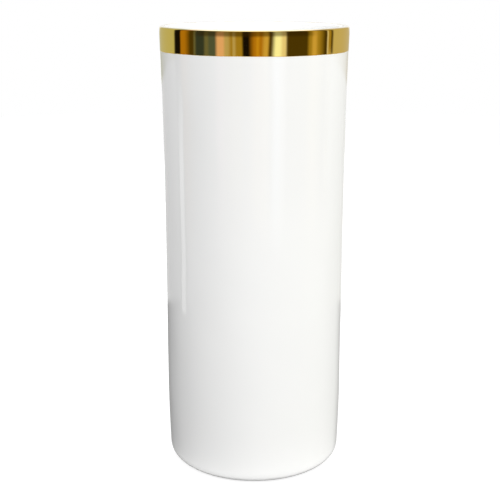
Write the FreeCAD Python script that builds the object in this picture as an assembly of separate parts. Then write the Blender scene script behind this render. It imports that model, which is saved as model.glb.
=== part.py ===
# A tall round porcelain vase with a fired gold band at its rim. Millimetres, +Z up.
# The origin is the centre of the plane that the foot ring rests on.
#
# Every piece is a solid of revolution about Z, drawn as a closed outline in the (r, z) half plane:
#   porcelain_body  slip-cast shell: wall, lip, floor and foot ring
#   outer_glaze     glaze coat on the outside, from the lip's crest to just above the foot ring
#   inner_glaze     glaze coat on the inside, from the lip's crest down to the floor
#   base_glaze      glaze coat in the recess under the floor, inside the bare foot ring
#   gold_rim_band   gold fired onto the glaze, round the rim and over the lip
import FreeCAD, Part
import math
import os

# Driving dimensions of the finished vase, glaze included.
HEIGHT = 250.0  # foot ring's resting plane to the lip's crest
BODY_DIAMETER = 101.3  # over the straight part of the wall
RIM_DIAMETER = 103.5  # over the lip, which flares a little
WALL = 4.0  # wall thickness
FLOOR_TOP = 8.6  # height of the inside floor

# The long, barely curved parts of the wall.
FLARE_LENGTH = 80.0  # below the shoulder, where the wall leans outwards
TAPER_LENGTH = 41.0  # above the foot's rounding, where the wall draws in
FOOT_INSET = 0.8  # how far the wall has drawn in at the foot's rounding
STRETCHES = 4  # straight stretches that each is made of, within 0.02 mm of its curve

# Roundings.
LIP_OUTER_RADIUS = 1.0
LIP_INNER_RADIUS = 1.6
SHOULDER_RADIUS = 30.0  # of the soft turn between the flare and the lip's outer rounding
SHOULDER_DEG = 5.0  # lean inwards where the soft turn meets the lip's outer rounding
FOOT_RADIUS = 7.4
INSIDE_CORNER_RADIUS = 12.0

# Foot ring and the recess under the floor.
RING_INNER_RADIUS = 38.0
RING_EDGE_RADIUS = 0.6
RECESS_HEIGHT = 2.6

# Coats.
GLAZE = 0.35  # glaze thickness
GLAZE_STOP_DEG = 65.0  # where the outer glaze ends on the foot's rounding, down from level
GOLD = 0.12  # gold thickness
BAND_HEIGHT = 13.0  # lip's crest to the band's lower edge
GOLD_TURN_DEG = 5.0  # how far the gold turns down the lip's inner rounding

BODY_RADIUS = BODY_DIAMETER / 2
RIM_RADIUS = RIM_DIAMETER / 2
INSIDE_RADIUS = BODY_RADIUS - WALL


def point(r, z):
    return FreeCAD.Vector(r, 0, z)


def line(start, end):
    return Part.LineSegment(point(*start), point(*end)).toShape()


def outward(degrees, length=1.0):
    turn = math.radians(degrees)
    return (length * math.cos(turn), length * math.sin(turn))


class Bend:
    """A round stretch of an outline: the centre and radius of its circle. Angles turn up from +r."""

    def __init__(self, r, z, radius):
        self.r = r
        self.z = z
        self.radius = radius

    def at(self, degrees, depth=0.0):
        """The point at an angle, depth inside the circle."""
        across, up = outward(degrees, self.radius - depth)
        return (self.r + across, self.z + up)

    def arc(self, start, end, depth=0.0):
        angles = (start, (start + end) / 2, end)
        return Part.Arc(*(point(*self.at(angle, depth)) for angle in angles)).toShape()


def lean(offset, length):
    """Angle from upright at the end of a parabola that moves sideways by offset over length."""
    return math.degrees(math.atan(2 * offset / length))


def parabola(start, end):
    """Points along the curve that leaves start upright and leans more and more towards end."""
    shares = (i / STRETCHES for i in range(STRETCHES + 1))
    return [(start[0] + (end[0] - start[0]) * t * t, start[1] + (end[1] - start[1]) * t) for t in shares]


def lines(points):
    return [line(start, end) for start, end in zip(points, points[1:])]


def at_height(start, end, z):
    """The point at a height on the line from start to end."""
    share = (z - start[1]) / (end[1] - start[1])
    return (start[0] + (end[0] - start[0]) * share, z)


# The flare ends in the shoulder, which turns into the lip, and the taper ends in the foot's rounding.
SHOULDER_RISE = outward(SHOULDER_DEG, SHOULDER_RADIUS - LIP_OUTER_RADIUS)[1]
SHOULDER = Bend(RIM_RADIUS - SHOULDER_RADIUS, HEIGHT - LIP_OUTER_RADIUS - SHOULDER_RISE, SHOULDER_RADIUS)
LIP_OUTER = Bend(*SHOULDER.at(SHOULDER_DEG, LIP_OUTER_RADIUS), LIP_OUTER_RADIUS)
LIP_INNER = Bend(RIM_RADIUS - WALL + LIP_INNER_RADIUS, HEIGHT - LIP_INNER_RADIUS, LIP_INNER_RADIUS)
FOOT = Bend(BODY_RADIUS - FOOT_INSET - FOOT_RADIUS, FOOT_RADIUS - GLAZE, FOOT_RADIUS)
FLARE_START = SHOULDER.z - FLARE_LENGTH
FLARE_DEG = lean(RIM_RADIUS - BODY_RADIUS, FLARE_LENGTH)
TAPER_START = FOOT.z + TAPER_LENGTH
TAPER_DEG = lean(FOOT_INSET, TAPER_LENGTH)
CREST_R = (LIP_OUTER.r + LIP_INNER.r) / 2

CORNER = Bend(INSIDE_RADIUS - INSIDE_CORNER_RADIUS, FLOOR_TOP + INSIDE_CORNER_RADIUS, INSIDE_CORNER_RADIUS)
RING_EDGE = Bend(RING_INNER_RADIUS + RING_EDGE_RADIUS, RING_EDGE_RADIUS, RING_EDGE_RADIUS)
RECESS_CORNER_RADIUS = RECESS_HEIGHT - RING_EDGE_RADIUS
RECESS = Bend(RING_INNER_RADIUS - RECESS_CORNER_RADIUS, RING_EDGE_RADIUS, RECESS_CORNER_RADIUS)


def flare(depth):
    return parabola((BODY_RADIUS - depth, FLARE_START), SHOULDER.at(-FLARE_DEG, depth))


def taper(depth):
    return parabola((BODY_RADIUS - depth, TAPER_START), FOOT.at(-TAPER_DEG, depth))


def inside_flare(depth):
    return parabola((INSIDE_RADIUS + depth, FLARE_START), LIP_INNER.at(180 - FLARE_DEG, depth))


def lip_and_shoulder(depth):
    return [
        LIP_OUTER.arc(90, SHOULDER_DEG, depth),
        SHOULDER.arc(SHOULDER_DEG, -FLARE_DEG, depth),
    ]


def outside(depth, foot_end):
    """The outside from the lip's crest to an angle on the foot's rounding, depth under its surface."""
    return [
        line((CREST_R, HEIGHT - depth), (LIP_OUTER.r, HEIGHT - depth)),
        *lip_and_shoulder(depth),
        *lines(flare(depth)),
        line((BODY_RADIUS - depth, FLARE_START), (BODY_RADIUS - depth, TAPER_START)),
        *lines(taper(depth)),
        FOOT.arc(-TAPER_DEG, foot_end, depth),
    ]


def inside(depth):
    """The inside from the lip's crest to the floor's centre, depth under its surface."""
    wall = INSIDE_RADIUS + depth
    return [
        line((CREST_R, HEIGHT - depth), (LIP_INNER.r, HEIGHT - depth)),
        LIP_INNER.arc(90, 180 - FLARE_DEG, depth),
        *lines(inside_flare(depth)),
        line((wall, FLARE_START), (wall, CORNER.z)),
        CORNER.arc(0, -90, -depth),
        line((CORNER.r, FLOOR_TOP - depth), (0, FLOOR_TOP - depth)),
    ]


def recess(coat):
    """The recess from its corner to the axis, under a coat of the given thickness."""
    ceiling = RECESS_HEIGHT - coat
    return [
        RECESS.arc(0, 90, coat),
        line((RECESS.r, ceiling), (0, ceiling)),
    ]


def rounded_edge(start, end, bulge_deg):
    """The half round that ends a coat, from one of its faces to the other."""
    across, up = outward(bulge_deg, math.dist(start, end) / 2)
    tip = ((start[0] + end[0]) / 2 + across, (start[1] + end[1]) / 2 + up)
    return Part.Arc(point(*start), point(*tip), point(*end)).toShape()


def turned(edges):
    """The solid that a closed outline sweeps about Z."""
    outline = Part.Wire(Part.__sortEdges__(edges))
    solid = Part.Face(outline).revolve(point(0, 0), point(0, 1), 360)
    if not solid.isValid() or solid.Volume <= 0:
        raise ValueError("an outline did not make a closed solid")
    return solid


def porcelain_body():
    foot_ring = [
        line((FOOT.r, 0), (RING_EDGE.r, 0)),
        RING_EDGE.arc(-90, -180),
        line((0, RECESS_HEIGHT), (0, FLOOR_TOP - GLAZE)),
    ]
    return turned(outside(GLAZE, -90) + foot_ring + recess(0) + inside(GLAZE))


def crest_seam():
    return line((CREST_R, HEIGHT), (CREST_R, HEIGHT - GLAZE))


def outer_glaze():
    stop = -GLAZE_STOP_DEG
    edge = rounded_edge(FOOT.at(stop), FOOT.at(stop, GLAZE), stop - 90)
    return turned(outside(0, stop) + [crest_seam(), edge] + outside(GLAZE, stop))


def inner_glaze():
    axis = line((0, FLOOR_TOP), (0, FLOOR_TOP - GLAZE))
    return turned(inside(0) + [crest_seam(), axis] + inside(GLAZE))


def base_glaze():
    edge = line(RECESS.at(0), RECESS.at(0, GLAZE))
    axis = line((0, RECESS_HEIGHT), (0, RECESS_HEIGHT - GLAZE))
    return turned(recess(0) + [edge, axis] + recess(GLAZE))


def gold_rim_band():
    turn = 90 + GOLD_TURN_DEG
    edges = [line(LIP_INNER.at(turn), LIP_INNER.at(turn, -GOLD))]
    lower_ends = []
    for depth in (0, -GOLD):
        below, above = flare(depth)[-2:]
        lower_ends.append(at_height(below, above, HEIGHT - BAND_HEIGHT))
        edges += [
            LIP_INNER.arc(turn, 90, depth),
            line((LIP_INNER.r, HEIGHT - depth), (LIP_OUTER.r, HEIGHT - depth)),
            *lip_and_shoulder(depth),
            line(above, lower_ends[-1]),
        ]
    return turned(edges + [line(*lower_ends)])


PIECES = [porcelain_body, outer_glaze, inner_glaze, base_glaze, gold_rim_band]

os.makedirs("parts", exist_ok=True)
for piece in PIECES:
    shape = piece()
    shape.exportStep(f"parts/{piece.__name__}.step")
    print(f"{piece.__name__}: {shape.Volume / 1000:.2f} cm3")
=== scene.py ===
"""A white porcelain vase with a gold rim, standing on a pale floor in soft studio light.

Every piece is a lathed mesh with a procedural material, in metres, in the frame of the CAD model.
Outlines are worked out in millimetres, as (r, z) points, and lathed about Z.
"""

import math
import random

import bpy
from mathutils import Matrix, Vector


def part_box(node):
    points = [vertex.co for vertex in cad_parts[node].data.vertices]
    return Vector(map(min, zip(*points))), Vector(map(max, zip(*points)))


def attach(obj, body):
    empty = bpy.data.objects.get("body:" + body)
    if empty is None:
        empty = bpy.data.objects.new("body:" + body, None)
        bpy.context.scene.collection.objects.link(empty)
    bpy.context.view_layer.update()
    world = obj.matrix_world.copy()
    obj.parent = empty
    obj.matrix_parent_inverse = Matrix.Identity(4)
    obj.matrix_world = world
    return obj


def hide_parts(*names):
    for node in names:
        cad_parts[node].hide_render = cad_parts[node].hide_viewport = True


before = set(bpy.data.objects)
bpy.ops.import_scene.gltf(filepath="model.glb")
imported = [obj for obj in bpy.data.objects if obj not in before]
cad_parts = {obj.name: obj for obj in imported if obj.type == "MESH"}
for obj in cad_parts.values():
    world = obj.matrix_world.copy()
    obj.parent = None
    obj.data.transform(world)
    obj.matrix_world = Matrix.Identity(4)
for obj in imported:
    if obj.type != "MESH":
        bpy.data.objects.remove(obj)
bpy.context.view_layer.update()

MM = 0.001
NEAR = 1e-6  # millimetres within which two points are one
ROUND = 256  # facets round a piece


def reach(node):
    """Largest radius, lowest and highest z of a CAD node, in millimetres."""
    low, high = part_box(node)
    return high.x / MM, low.z / MM, high.z / MM


# Sizes of the vase in millimetres: those the frame gives, then the rest.
RIM_RADIUS, _, HEIGHT = reach("outer_glaze")
_, BAND_BOTTOM, GOLD_TOP = reach("gold_rim_band")
RING_INNER_RADIUS = reach("base_glaze")[0]
RIM_PROUD = 1.1  # how far the lip stands out past the straight wall
BODY_RADIUS = RIM_RADIUS - RIM_PROUD
WALL = 4.0
INSIDE_RADIUS = BODY_RADIUS - WALL
FLOOR_TOP = 8.6
FLARE_LENGTH = 80.0
TAPER_LENGTH = 41.0
FOOT_INSET = 0.8
LIP_OUTER_RADIUS = 1.0
LIP_INNER_RADIUS = 1.6
SHOULDER_RADIUS = 30.0
SHOULDER_DEG = 5.0
FOOT_RADIUS = 7.4
INSIDE_CORNER_RADIUS = 12.0
RING_EDGE_RADIUS = 0.6
RECESS_HEIGHT = 2.6
GLAZE = 0.35
GLAZE_STOP_DEG = 65.0
GOLD = GOLD_TOP - HEIGHT
GOLD_TURN_DEG = 5.0
GOLD_EDGE = (0.06, 0.15)  # above the band's bottom, where the gold ends and where it has its full thickness


# ---- outlines ----

def on_circle(centre, radius, degrees):
    """The point at an angle on a circle, turning up from +r."""
    turn = math.radians(degrees)
    return (centre[0] + radius * math.cos(turn), centre[1] + radius * math.sin(turn))


def arc(centre, radius, start, end, step=5.0):
    """Points from start to end degrees round a centre."""
    count = max(2, math.ceil(abs(end - start) / step))
    return [on_circle(centre, radius, start + (end - start) * i / count) for i in range(count + 1)]


def between(start, end, share):
    """The point at a share of the way from start to end."""
    return (start[0] + (end[0] - start[0]) * share, start[1] + (end[1] - start[1]) * share)


def line(start, end, count=1):
    return [between(start, end, i / count) for i in range(count + 1)]


def parabola(start, end, count=24):
    """A curve that leaves start upright and leans more and more towards end."""
    shares = (i / count for i in range(count + 1))
    return [(start[0] + (end[0] - start[0]) * t * t, start[1] + (end[1] - start[1]) * t) for t in shares]


def joined(*stretches):
    """One outline from stretches that start where the last one ended."""
    outline = []
    for stretch in stretches:
        for spot in stretch:
            if not outline or math.dist(outline[-1], spot) > NEAR:
                outline.append(spot)
    return outline


def lean(offset, length):
    """Angle from upright at the end of a parabola that moves sideways by offset over length."""
    return math.degrees(math.atan(2 * offset / length))


# Centres of the roundings, and where the flare and the taper start.
SHOULDER_RISE = (SHOULDER_RADIUS - LIP_OUTER_RADIUS) * math.sin(math.radians(SHOULDER_DEG))
SHOULDER = (RIM_RADIUS - SHOULDER_RADIUS, HEIGHT - LIP_OUTER_RADIUS - SHOULDER_RISE)
LIP_OUTER = on_circle(SHOULDER, SHOULDER_RADIUS - LIP_OUTER_RADIUS, SHOULDER_DEG)
LIP_INNER = (RIM_RADIUS - WALL + LIP_INNER_RADIUS, HEIGHT - LIP_INNER_RADIUS)
CREST_R = (LIP_OUTER[0] + LIP_INNER[0]) / 2
FOOT = (BODY_RADIUS - FOOT_INSET - FOOT_RADIUS, FOOT_RADIUS - GLAZE)
CORNER = (INSIDE_RADIUS - INSIDE_CORNER_RADIUS, FLOOR_TOP + INSIDE_CORNER_RADIUS)
FLARE_START = SHOULDER[1] - FLARE_LENGTH
FLARE_DEG = lean(RIM_PROUD, FLARE_LENGTH)
TAPER_START = FOOT[1] + TAPER_LENGTH
TAPER_DEG = lean(FOOT_INSET, TAPER_LENGTH)
RING_EDGE = (RING_INNER_RADIUS + RING_EDGE_RADIUS, RING_EDGE_RADIUS)
RECESS_CORNER_RADIUS = RECESS_HEIGHT - RING_EDGE_RADIUS
RECESS = (RING_INNER_RADIUS - RECESS_CORNER_RADIUS, RING_EDGE_RADIUS)


def lip_and_flare(depth):
    """From the crest over the lip's rounding and its soft shoulder, down to where the wall is upright."""
    lower = on_circle(SHOULDER, SHOULDER_RADIUS - depth, -FLARE_DEG)
    return joined(
        line((CREST_R, HEIGHT - depth), (LIP_OUTER[0], HEIGHT - depth)),
        arc(LIP_OUTER, LIP_OUTER_RADIUS - depth, 90, SHOULDER_DEG),
        arc(SHOULDER, SHOULDER_RADIUS - depth, SHOULDER_DEG, -FLARE_DEG, step=0.5),
        parabola((BODY_RADIUS - depth, FLARE_START), lower, count=48)[::-1],
    )


def outside(depth, foot_end):
    """The outside from the lip's crest to an angle on the foot's rounding, depth under its surface."""
    radius = FOOT_RADIUS - depth
    upper = on_circle(FOOT, radius, -TAPER_DEG)
    return joined(
        lip_and_flare(depth),
        line((BODY_RADIUS - depth, FLARE_START), (BODY_RADIUS - depth, TAPER_START), count=32),
        parabola((BODY_RADIUS - depth, TAPER_START), upper),
        arc(FOOT, radius, -TAPER_DEG, foot_end, step=4.0),
    )


def inside(depth):
    """The inside from the lip's crest to the floor's centre, depth under its surface."""
    radius = LIP_INNER_RADIUS - depth
    wall = INSIDE_RADIUS + depth
    upper = on_circle(LIP_INNER, radius, 180 - FLARE_DEG)
    return joined(
        line((CREST_R, HEIGHT - depth), (LIP_INNER[0], HEIGHT - depth)),
        arc(LIP_INNER, radius, 90, 180 - FLARE_DEG),
        parabola((wall, FLARE_START), upper)[::-1],
        line((wall, FLARE_START), (wall, CORNER[1]), count=24),
        arc(CORNER, INSIDE_CORNER_RADIUS + depth, 0, -90, step=4.0),
        line((CORNER[0], FLOOR_TOP - depth), (0, FLOOR_TOP - depth), count=8),
    )


def recess(coat):
    """The recess under the floor from its corner to the axis, under a coat of that thickness."""
    ceiling = RECESS_HEIGHT - coat
    return joined(
        arc(RECESS, RECESS_CORNER_RADIUS - coat, 0, 90),
        line((RECESS[0], ceiling), (0, ceiling), count=8),
    )


def rounded_edge(start, end, bulge_deg):
    """The half round that ends a coat, from one of its faces to the other."""
    middle = between(start, end, 0.5)
    first = math.degrees(math.atan2(start[1] - middle[1], start[0] - middle[0]))
    half_turn = 180 if math.sin(math.radians(bulge_deg - first)) > 0 else -180
    return arc(middle, math.dist(start, end) / 2, first, first + half_turn, step=30.0)


def above(points, z):
    """The part of a falling outline above a height, cut off there."""
    kept = [spot for spot in points if spot[1] > z]
    upper, lower = kept[-1], points[len(kept)]
    return kept + [between(upper, lower, (upper[1] - z) / (upper[1] - lower[1]))]


def body_outline():
    foot_ring = joined(
        line((FOOT[0], 0), (RING_EDGE[0], 0), count=4),
        arc(RING_EDGE, RING_EDGE_RADIUS, -90, -180, step=10.0),
    )
    return joined(inside(GLAZE)[::-1], outside(GLAZE, -90), foot_ring, recess(0))


def outer_glaze_outline():
    stop = -GLAZE_STOP_DEG
    ends = (on_circle(FOOT, FOOT_RADIUS, stop), on_circle(FOOT, FOOT_RADIUS - GLAZE, stop))
    return joined(outside(0, stop), rounded_edge(*ends, stop - 90), outside(GLAZE, stop)[::-1])


def gold_face(depth):
    """One face of the gold, from the inside over the lip to the band's lower edge."""
    points = joined(
        arc(LIP_INNER, LIP_INNER_RADIUS - depth, 90 + GOLD_TURN_DEG, 90),
        line((LIP_INNER[0], HEIGHT - depth), (CREST_R, HEIGHT - depth)),
        lip_and_flare(depth),
    )
    end, full = (BAND_BOTTOM + up for up in GOLD_EDGE)
    return above(points, full) + above(points, end)[-1:]


def gold_outline():
    outer_face, inner_face = gold_face(-GOLD), gold_face(0)
    edge = rounded_edge(outer_face[-1], inner_face[-1], -90)
    return joined(outer_face, edge, inner_face[::-1])


# ---- meshes ----

# The ripple of the outside: lobes round the vase, waves over its height, and height in millimetres.
SWELLS = ((2, 0.6, 0.08), (3, 1.1, 0.05), (7, 3.3, 0.03), (12, 6.1, 0.012), (17, 8.3, 0.005))
random.seed(11)
RIPPLES = [(lobes, waves, random.uniform(0, math.tau), height) for lobes, waves, height in SWELLS]
LIP_FADE = 20  # the ripple fades out over a 20th of the height under the lip
FOOT_FADE = 8  # and over an 8th of it above the foot
WANDER = ((3, 1, 0.07), (8, 2, 0.05), (21, 0, 0.025))  # of the gold's edge: lobes, start, millimetres
WANDER_REACH = 2.0  # how far from the edge the wander has faded out, in millimetres


def ripple(z, turn):
    """How far the outside stands from a perfect round there, in millimetres. Lip and foot stay round."""
    up = z / HEIGHT
    swell = sum(h * math.sin(n * turn + w * math.tau * up + s) for n, w, s, h in RIPPLES)
    return swell * max(0, min(1, (1 - up) * LIP_FADE, up * FOOT_FADE))


def wavy(r, z, turn):
    """Moves a point on the outside with the ripple, and leaves the inside alone."""
    return (ripple(z, turn) if r > BODY_RADIUS - WALL / 2 else 0), 0


def gold_shift(r, z, turn):
    """The ripple of the glaze under the gold, and a hand-drawn lower edge that wanders a little."""
    wander = sum(height * math.sin(lobes * turn + start) for lobes, start, height in WANDER)
    near_edge = max(0, 1 - abs(z - BAND_BOTTOM) / WANDER_REACH)
    return ripple(z, turn), wander * near_edge


def lathed_points(outline, shift):
    """The points of a lathed outline in metres, and each ring's numbers. A ring on the axis is one point."""
    verts = []
    rings = []
    for r, z in outline:
        if r < NEAR:
            rings.append([len(verts)])
            verts.append((0, 0, z * MM))
            continue
        rings.append(range(len(verts), len(verts) + ROUND))
        for i in range(ROUND):
            turn = math.tau * i / ROUND
            away, up = shift(r, z, turn) if shift else (0, 0)
            verts.append(((r + away) * math.cos(turn) * MM, (r + away) * math.sin(turn) * MM, (z + up) * MM))
    return verts, rings


def band_of_faces(upper, lower):
    """The faces between two rings."""
    faces = []
    for i in range(ROUND):
        j = (i + 1) % ROUND
        if len(upper) == 1:
            faces.append((upper[0], lower[i], lower[j]))
        elif len(lower) == 1:
            faces.append((upper[i], lower[0], upper[j]))
        else:
            faces.append((upper[i], lower[i], lower[j], upper[j]))
    return faces


def lathe(name, outline, material, nodes, shift=None):
    """A piece turned from an outline: a closed loop, or one that starts and ends on the axis."""
    verts, rings = lathed_points(outline, shift)
    closed = len(rings[0]) > 1
    pairs = zip(rings, rings[1:] + rings[:1] if closed else rings[1:])
    mesh = bpy.data.meshes.new(name)
    mesh.from_pydata(verts, [], [face for upper, lower in pairs for face in band_of_faces(upper, lower)])
    mesh.validate()
    mesh.shade_smooth()
    mesh.materials.append(material)
    piece = bpy.data.objects.new(name, mesh)
    bpy.context.scene.collection.objects.link(piece)
    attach(piece, "root")
    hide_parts(*nodes)


# ---- node helpers ----

def node(tree, kind, inputs=(), **settings):
    """A shader node with its settings and inputs, each input a value or another node's socket."""
    made = tree.nodes.new("ShaderNode" + kind)
    for name, value in settings.items():
        setattr(made, name, value)
    for key, value in dict(inputs).items():
        if isinstance(value, bpy.types.NodeSocket):
            tree.links.new(value, made.inputs[key])
        else:
            made.inputs[key].default_value = value
    return made


def maths(tree, operation, *values):
    return node(tree, "Math", enumerate(values), operation=operation).outputs[0]


def fade(tree, value, low, high, to_low=0.0, to_high=1.0):
    """A smooth step from to_low at low to to_high at high."""
    inputs = {0: value, 1: low, 2: high, 3: to_low, 4: to_high}
    return node(tree, "MapRange", inputs, interpolation_type="SMOOTHSTEP").outputs[0]


def mix(tree, amount, first, second):
    """A blend of two numbers."""
    return node(tree, "Mix", {0: amount, 2: first, 3: second}).outputs[0]


def blend(tree, amount, first, second):
    """A blend of two colours."""
    return node(tree, "Mix", {0: amount, 6: first, 7: second}, data_type="RGBA").outputs[2]


def noise(tree, place, scale, detail=2.0, roughness=0.5):
    inputs = {"Vector": place, "Scale": scale, "Detail": detail, "Roughness": roughness}
    return node(tree, "TexNoise", inputs).outputs[0]


def ramp(tree, value, stops):
    """Colours at their places from 0 to 1, in order, blended between them."""
    made = node(tree, "ValToRGB", {0: value})
    elements = made.color_ramp.elements
    while len(elements) < len(stops):
        elements.new(1.0)
    for element, (position, colour) in zip(elements, stops):
        element.position = position
        element.color = (*colour, 1)
    return made.outputs[0]


def bump(tree, shader, height, distance, strength=1.0):
    inputs = {"Height": height, "Distance": distance, "Strength": strength}
    tree.links.new(node(tree, "Bump", inputs).outputs[0], shader.inputs["Normal"])


def new_material(name, **constants):
    """A material with one shader, its constants set on the shader's own sockets."""
    material = bpy.data.materials.new(name)
    material.use_nodes = True
    tree = material.node_tree
    tree.nodes.clear()
    shader = node(tree, "BsdfPrincipled", {key.replace("_", " "): value for key, value in constants.items()})
    node(tree, "OutputMaterial", {"Surface": shader.outputs[0]})
    place = node(tree, "TexCoord").outputs["Object"]
    return material, tree, shader, place


# ---- materials ----

# Colours are linear. A pair is what faint clouds blend between.
GLAZE_WHITES = ((0.865, 0.868, 0.865, 1), (0.905, 0.905, 0.9, 1))
BISQUE_TONES = ((0.78, 0.745, 0.68, 1), (0.86, 0.84, 0.79, 1))
BISQUE_SPECK = (0.52, 0.47, 0.40, 1)
FULL_GOLDS = ((0.97, 0.725, 0.19, 1), (0.99, 0.76, 0.225, 1))
THIN_GOLD = (0.78, 0.47, 0.12, 1)
# Pale gold for the crest: worn gold, and also a painted highlight that lightens the crest's reflection.
WORN_HIGHLIGHT_GOLD = (0.98, 0.91, 0.72, 1)
THIN_FROM = (0.1, 0.6)  # above the band's bottom, from where the gold is thinnest to where it is full
WORN_HIGHLIGHT_FROM = (0.6, 0.1)  # below the crest, from where the gold is full to where it is rubbed pale and painted light as the crest's highlight


def glaze_material(name, orange_peel, pinholes):
    """White porcelain glaze: faint clouds in its tone, a soft orange peel and a few tiny pinholes.

    The depths of the peel and of the pinholes are in hundredths of a millimetre.
    """
    material, tree, shader, place = new_material(name, IOR=1.5)
    clouds = noise(tree, place, scale=22.0, detail=3.0)
    tree.links.new(blend(tree, clouds, *GLAZE_WHITES), shader.inputs["Base Color"])
    smears = noise(tree, place, scale=70.0)
    tree.links.new(fade(tree, smears, 0.3, 0.7, to_low=0.02, to_high=0.05), shader.inputs["Roughness"])
    peel = noise(tree, place, scale=260.0, roughness=0.4)
    holes = node(tree, "TexVoronoi", {"Vector": place, "Scale": 85.0, "Randomness": 1.0}).outputs["Distance"]
    dents = fade(tree, holes, 0.012, 0.03, to_low=-pinholes, to_high=0.0)
    height = maths(tree, "MULTIPLY_ADD", peel, orange_peel, dents)
    bump(tree, shader, height, distance=0.01 * MM)
    return material


def bisque_material():
    """Bare fired porcelain: matt, warm and a little cloudy, with a fine dark speckle and grain."""
    material, tree, shader, place = new_material("bare_porcelain")
    grain = noise(tree, place, scale=1800.0, detail=4.0, roughness=0.7)
    clouds = noise(tree, place, scale=90.0, detail=3.0)
    tone = blend(tree, clouds, *BISQUE_TONES)
    speckle = maths(tree, "MULTIPLY", fade(tree, grain, 0.62, 0.7), 0.35)
    tree.links.new(blend(tree, speckle, tone, BISQUE_SPECK), shader.inputs["Base Color"])
    tree.links.new(fade(tree, clouds, 0.3, 0.7, to_low=0.5, to_high=0.68), shader.inputs["Roughness"])
    bump(tree, shader, grain, distance=0.06 * MM, strength=0.8)
    return material


def gold_material():
    """Bright fired gold: a mirror with faint brush lines, thin at the band's edge, and pale on the crest,
    where it is worn and painted light as a highlight.
    """
    material, tree, shader, place = new_material("bright_gold", Metallic=1.0)
    along_rim = node(tree, "Mapping", {"Vector": place, "Scale": (1, 1, 26)}, vector_type="POINT").outputs[0]
    strokes = noise(tree, along_rim, scale=34.0, detail=3.0, roughness=0.55)
    clouds = noise(tree, place, scale=60.0)
    full = blend(tree, clouds, *FULL_GOLDS)
    z = node(tree, "SeparateXYZ", {0: place}).outputs[2]
    thin = fade(tree, z, *((BAND_BOTTOM + up) * MM for up in THIN_FROM), to_low=0.35, to_high=0.0)
    # Painted highlight: the gold turns pale towards the crest, partly as wear.
    worn_highlight = fade(tree, z, *((HEIGHT - down) * MM for down in WORN_HIGHLIGHT_FROM))
    colour = blend(tree, worn_highlight, blend(tree, thin, full, THIN_GOLD), WORN_HIGHLIGHT_GOLD)
    tree.links.new(colour, shader.inputs["Base Color"])
    tree.links.new(fade(tree, strokes, 0.25, 0.75, to_low=0.012, to_high=0.04), shader.inputs["Roughness"])
    bump(tree, shader, strokes, distance=0.004 * MM, strength=0.3)
    return material


# ---- pieces ----

def make_pieces():
    outer = glaze_material("white_glaze_outside", orange_peel=0.35, pinholes=0.5)
    inner = glaze_material("white_glaze_inside", orange_peel=0.6, pinholes=1.5)
    gold = gold_material()
    bisque = bisque_material()
    lathe("vase_porcelain_body", body_outline(), bisque, ["porcelain_body"], wavy)
    lathe("vase_outer_glaze", outer_glaze_outline(), outer, ["outer_glaze"], wavy)
    lathe("vase_inner_glaze", joined(inside(GLAZE)[::-1], inside(0)), inner, ["inner_glaze"])
    lathe("vase_base_glaze", joined(recess(0)[::-1], recess(GLAZE)), inner, ["base_glaze"])
    lathe("vase_gold_rim_band", gold_outline(), gold, ["gold_rim_band"], gold_shift)


# ---- what the vase mirrors ----

# Cards stand far off all round the vase, in directions given as degrees from its front, more to its right,
# and degrees above level. The tones are the light that each sends towards the vase.
BLACK = (0.008, 0.006, 0.004)
UMBER = (0.068, 0.045, 0.003)
AMBER = (0.42, 0.20, 0.012)
COPPER = (0.56, 0.31, 0.025)
HONEY = (0.60, 0.42, 0.14)
OCHRE = (0.36, 0.25, 0.04)
STRAW = (0.49, 0.42, 0.32)
STONE = (0.14, 0.15, 0.13)
SLATE = (0.034, 0.05, 0.07)
PEWTER = (0.08, 0.11, 0.14)
PEACH = (0.75, 0.48, 0.52)
CREAM = (0.80, 0.76, 0.82)
LAMP = (1.00, 1.14, 1.38)
GREEN_WALL = (0.51, 0.51, 0.36)
WARM_WALL = (0.55, 0.49, 0.35)

LEFT_CARDS = (  # from, to, tone; one card blends into the next across the gap between them
    (-180, -112, GREEN_WALL),
    (-109, -99.5, BLACK),
    (-97.5, -91, AMBER),
    (-82, -77.5, UMBER),
    (-75.5, -75, STONE),
    (-72.5, -62.5, SLATE),
    (-60, -57, STONE),
    (-54.5, -47.5, PEWTER),
    (-44, -37.5, PEACH),
    (-34.5, -31.5, STRAW),
    (-27.5, -26.5, OCHRE),
    (-25, -24, STRAW),
    (-21, -15.5, OCHRE),
    (-13, -6.5, BLACK),
    (0, 0, AMBER),
)
RIGHT_CARDS = (
    (0, 1, AMBER),
    (4, 5, COPPER),
    (7.5, 8.5, AMBER),
    (13, 16, HONEY),
    (18.5, 20.5, UMBER),
    (25.5, 30, LAMP),
    (34, 36.5, CREAM),
    (39.5, 65, UMBER),
    (69, 71, OCHRE),
    (74, 77.5, HONEY),
    (82, 83, OCHRE),
    (93, 96, UMBER),
    (98, 98, CREAM),
    (100, 103, OCHRE),
    (105.5, 106.5, UMBER),
    (110, 180, WARM_WALL),
)
UPPER_FROM = (-5, 1.5)  # from level up, the cards are dimmed in front and there is a backdrop behind
DIM = (0.03, 0.018, 0.003)
DIM_SHARE = 0.65
DIM_EDGE = (60, 85)
BACKDROP = (0.93, 0.93, 0.93)
BACKDROP_EDGE = (156, 163)
CEILING = (1.25, 1.25, 1.25)
CEILING_FROM = (38, 52)

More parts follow.
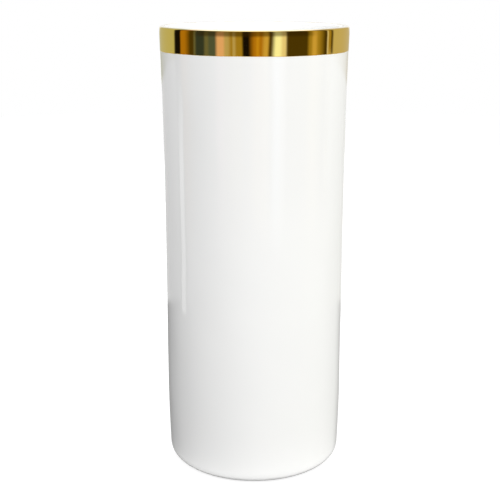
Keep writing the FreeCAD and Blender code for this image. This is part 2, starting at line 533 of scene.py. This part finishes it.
TABLE = (  # a bright table under the cards
    (-180, -112, (0.85, 0.85, 0.85)),
    (-109, -100, (0.15, 0.15, 0.15)),
    (-95, 100, (0.95, 0.95, 0.95)),
    (112, 180, (0.82, 0.82, 0.79)),
)
TABLE_FRONT = (-17, -8)  # where its edge is in front of the vase
TABLE_BEHIND = (-6.1, -5.5)  # and behind it
BEHIND_FROM = (96, 110)  # and how far round the one gives way to the other
FLAGS = (  # dark flags behind the vase on both sides, under part of the table
    (-180, -128, (0.28, 0.28, 0.28)),
    (-112, -100, (0.5, 0.5, 0.5)),
    (-60, 100, (0.95, 0.95, 0.95)),
    (130, 137, (0.72, 0.72, 0.72)),
    (150, 180, (0.4, 0.4, 0.4)),
)
FLAGS_TOP = (-17.9, -17.3)
STRIP = (1.8, 1.8, 1.8)  # a narrow upright lamp behind the vase on its left, dimmer at its top
STRIP_SPAN = (-108.5, -99.5)
STRIP_SOFT = 1.0
STRIP_FOOT = (-18.5, -18.1)
STRIP_HEAD = (-11, -5.5)


def over(tree, z, span):
    """0 below the first of two heights, in degrees above level, rising to 1 at the second."""
    return fade(tree, z, *(math.sin(math.radians(degrees)) for degrees in span))


def ring(tree, turn, cards):
    """The light of a ring of cards in a direction round the vase. The edges right behind it need no stop."""
    stops = [
        (edge / 360 + 0.5, tone)
        for start, end, tone in cards
        for edge in sorted({start, end} - {-180, 180})
    ]
    return ramp(tree, maths(tree, "MULTIPLY_ADD", turn, 1 / 360, 0.5), stops)


def strip_light(tree, z, turn):
    """1 where the strip lamp is, and 0 elsewhere."""
    start, end = STRIP_SPAN
    left = fade(tree, turn, start - STRIP_SOFT, start + STRIP_SOFT)
    right = fade(tree, turn, end - STRIP_SOFT, end + STRIP_SOFT, to_low=1.0, to_high=0.0)
    top = maths(tree, "SUBTRACT", 1.0, over(tree, z, STRIP_HEAD))
    across = maths(tree, "MULTIPLY", left, right)
    return maths(tree, "MULTIPLY", maths(tree, "MULTIPLY", across, over(tree, z, STRIP_FOOT)), top)


def glossy_light(tree, z, turn):
    """What the gold and the glaze mirror: cards, then what stands over them and under them."""
    on_right = maths(tree, "GREATER_THAN", turn, 0.0)
    light = blend(tree, on_right, ring(tree, turn, LEFT_CARDS), ring(tree, turn, RIGHT_CARDS))

    aside = maths(tree, "ABSOLUTE", turn)
    upper = over(tree, z, UPPER_FROM)
    dim = maths(tree, "MULTIPLY", upper, fade(tree, aside, *DIM_EDGE, to_low=DIM_SHARE, to_high=0.0))
    light = blend(tree, dim, light, (*DIM, 1))
    backdrop = maths(tree, "MULTIPLY", upper, fade(tree, aside, *BACKDROP_EDGE))
    light = blend(tree, backdrop, light, (*BACKDROP, 1))

    behind = fade(tree, aside, *BEHIND_FROM)
    over_table = mix(tree, behind, over(tree, z, TABLE_FRONT), over(tree, z, TABLE_BEHIND))
    light = blend(tree, over_table, ring(tree, turn, TABLE), light)
    light = blend(tree, over(tree, z, FLAGS_TOP), ring(tree, turn, FLAGS), light)
    light = blend(tree, strip_light(tree, z, turn), light, (*STRIP, 1))
    return blend(tree, over(tree, z, CEILING_FROM), light, (*CEILING, 1))


# ---- light, floor and camera ----

WHITE = (1, 1, 1, 1)
KEY_TURN = 32.0  # degrees to the right of the front
KEY_LIGHT = 0.89
BASE_LIGHT = 0.245
TOP_LIGHT = 0.5
KEY_TINT = (1, 1, 0.93, 1)
KEY_TINT_FROM = (0.2, 1.0)  # x of the directions over which the light turns warm

# Discs on the stage, in millimetres: name, radius, rings, centre, glow, and kinds of ray that don't meet it.
# The floor is for the camera. The bounce and the shade under it are what the foot gets back from it.
DISCS = (
    ("floor", 1600.0, 12, (0, 0, -0.05), 0.80, ("diffuse", "glossy")),
    ("floor_bounce", 60.0, 1, (3, -4, -0.2), 0.80, ("camera", "glossy")),
    ("foot_shade", 49.0, 1, (0, 0, -0.1), 0.03, ("camera",)),
)
DISC_FACETS = 96
DISC_GREYS = ((0.30, 0.30, 0.30, 1), (0.33, 0.33, 0.33, 1))

# The camera and the lamps, in metres.
CAMERA_PLACE = (0, -0.5806, 0.2768)
CAMERA_DOWN = 14.816  # degrees below level
CAMERA_LEFT = 0.236  # degrees to the left
CAMERA_LENS = 74.9
CAMERA_SENSOR = 36.0

MOUTH_LAMP = (0, -0.03, 0.45)
MOUTH_AIM = (0, 0.045, 0.245)
BOX_AIM = (0, 0, 0.25)
BOXES = (  # soft lamps high round the vase: name, watts, place
    ("left_box", 1.9, (-0.55, -0.32, 0.55)),
    ("right_box", 1.2, (0.55, -0.32, 0.55)),
    ("back_box", 8.6, (-0.16, 0.95, 0.5)),
    ("back_right_box", 1.3, (0.5, 0.75, 0.45)),
)


def diffuse_light(tree, towards, axes):
    """A soft lobe of light from the right and front, warmer on the right, and more light from above."""
    turn = math.radians(KEY_TURN)
    key = (math.sin(turn), -math.cos(turn), 0)
    lobe = node(tree, "VectorMath", {0: towards, 1: key}, operation="DOT_PRODUCT").outputs["Value"]
    level = maths(tree, "MULTIPLY_ADD", lobe, KEY_LIGHT, BASE_LIGHT)
    level = maths(tree, "MULTIPLY_ADD", maths(tree, "MAXIMUM", axes[2], 0.0), TOP_LIGHT, level)
    level = maths(tree, "MAXIMUM", level, 0.0)
    tint = blend(tree, fade(tree, axes[0], *KEY_TINT_FROM), WHITE, KEY_TINT)
    return node(tree, "VectorMath", {0: tint, "Scale": level}, operation="SCALE").outputs[0]


def studio_world():
    """White for the camera, soft light for matt surfaces, and the studio's cards for glossy ones."""
    world = bpy.data.worlds.new("studio")
    world.use_nodes = True
    bpy.context.scene.world = world
    tree = world.node_tree
    tree.nodes.clear()
    towards = node(tree, "TexCoord").outputs["Generated"]
    axes = node(tree, "SeparateXYZ", {0: towards}).outputs
    turn = maths(tree, "DEGREES", maths(tree, "ARCTAN2", axes[0], maths(tree, "MULTIPLY", axes[1], -1.0)))
    rays = node(tree, "LightPath").outputs
    light = diffuse_light(tree, towards, axes)
    light = blend(tree, rays["Is Glossy Ray"], light, glossy_light(tree, axes[2], turn))
    light = blend(tree, rays["Is Camera Ray"], light, WHITE)
    background = node(tree, "Background", {"Color": light, "Strength": 1.0})
    node(tree, "OutputWorld", {"Surface": background.outputs[0]})


def disc_mesh(name, radius, rings, centre):
    """A level disc of faces in rings about its centre point."""
    verts = [centre]
    faces = []
    for k in range(1, rings + 1):
        away = radius * k / rings
        for i in range(DISC_FACETS):
            turn = math.tau * i / DISC_FACETS
            verts.append((centre[0] + away * math.cos(turn), centre[1] + away * math.sin(turn), centre[2]))
    for i in range(DISC_FACETS):
        j = (i + 1) % DISC_FACETS
        faces.append((0, 1 + i, 1 + j))
        for k in range(rings - 1):
            inner = 1 + k * DISC_FACETS
            outer = inner + DISC_FACETS
            faces.append((inner + i, outer + i, outer + j, inner + j))
    mesh = bpy.data.meshes.new(name)
    mesh.from_pydata(verts, [], faces)
    return mesh


def staged_disc(name, radius, rings, centre, glow, unmet):
    """A glowing matt disc on the stage, in millimetres, that the unmet kinds of ray pass through."""
    mesh = disc_mesh(name, radius * MM, rings, tuple(along * MM for along in centre))
    material, tree, shader, place = new_material(name, Roughness=0.9, Emission_Strength=glow)
    shader.inputs["Emission Color"].default_value = WHITE
    tree.links.new(blend(tree, noise(tree, place, scale=5.0), *DISC_GREYS), shader.inputs["Base Color"])
    mesh.materials.append(material)
    made = bpy.data.objects.new(name, mesh)
    bpy.context.scene.collection.objects.link(made)
    for rays in unmet:
        setattr(made, "visible_" + rays, False)


def make_floor():
    for disc in DISCS:
        staged_disc(*disc)


def make_camera():
    data = bpy.data.cameras.new("camera")
    data.sensor_width = CAMERA_SENSOR
    data.lens = CAMERA_LENS
    camera = bpy.data.objects.new("camera", data)
    camera.location = CAMERA_PLACE
    camera.rotation_euler = (math.radians(90 - CAMERA_DOWN), 0, math.radians(CAMERA_LEFT))
    bpy.context.scene.collection.objects.link(camera)
    bpy.context.scene.camera = camera


def place_lamp(name, kind, energy, spot, aim, **settings):
    """A lamp at a spot, turned towards an aim, that isn't mirrored in the glaze."""
    data = bpy.data.lights.new(name, kind)
    data.energy = energy
    for key, value in settings.items():
        setattr(data, key, value)
    lamp = bpy.data.objects.new(name, data)
    lamp.location = spot
    lamp.rotation_euler = (Vector(aim) - Vector(spot)).to_track_quat("-Z", "Y").to_euler()
    lamp.visible_glossy = False
    bpy.context.scene.collection.objects.link(lamp)


def make_lamps():
    """One lamp over the mouth that lights the inside, and the soft boxes."""
    place_lamp("mouth_lamp", "SPOT", 1.1, MOUTH_LAMP, MOUTH_AIM,
               spot_size=math.radians(44), spot_blend=0.8, shadow_soft_size=0.02)
    for name, energy, spot in BOXES:
        place_lamp(name, "AREA", energy, spot, BOX_AIM, shape="DISK", size=0.3)


make_pieces()
make_floor()
make_lamps()
studio_world()
make_camera()
bpy.context.scene.view_settings.view_transform = "Standard"
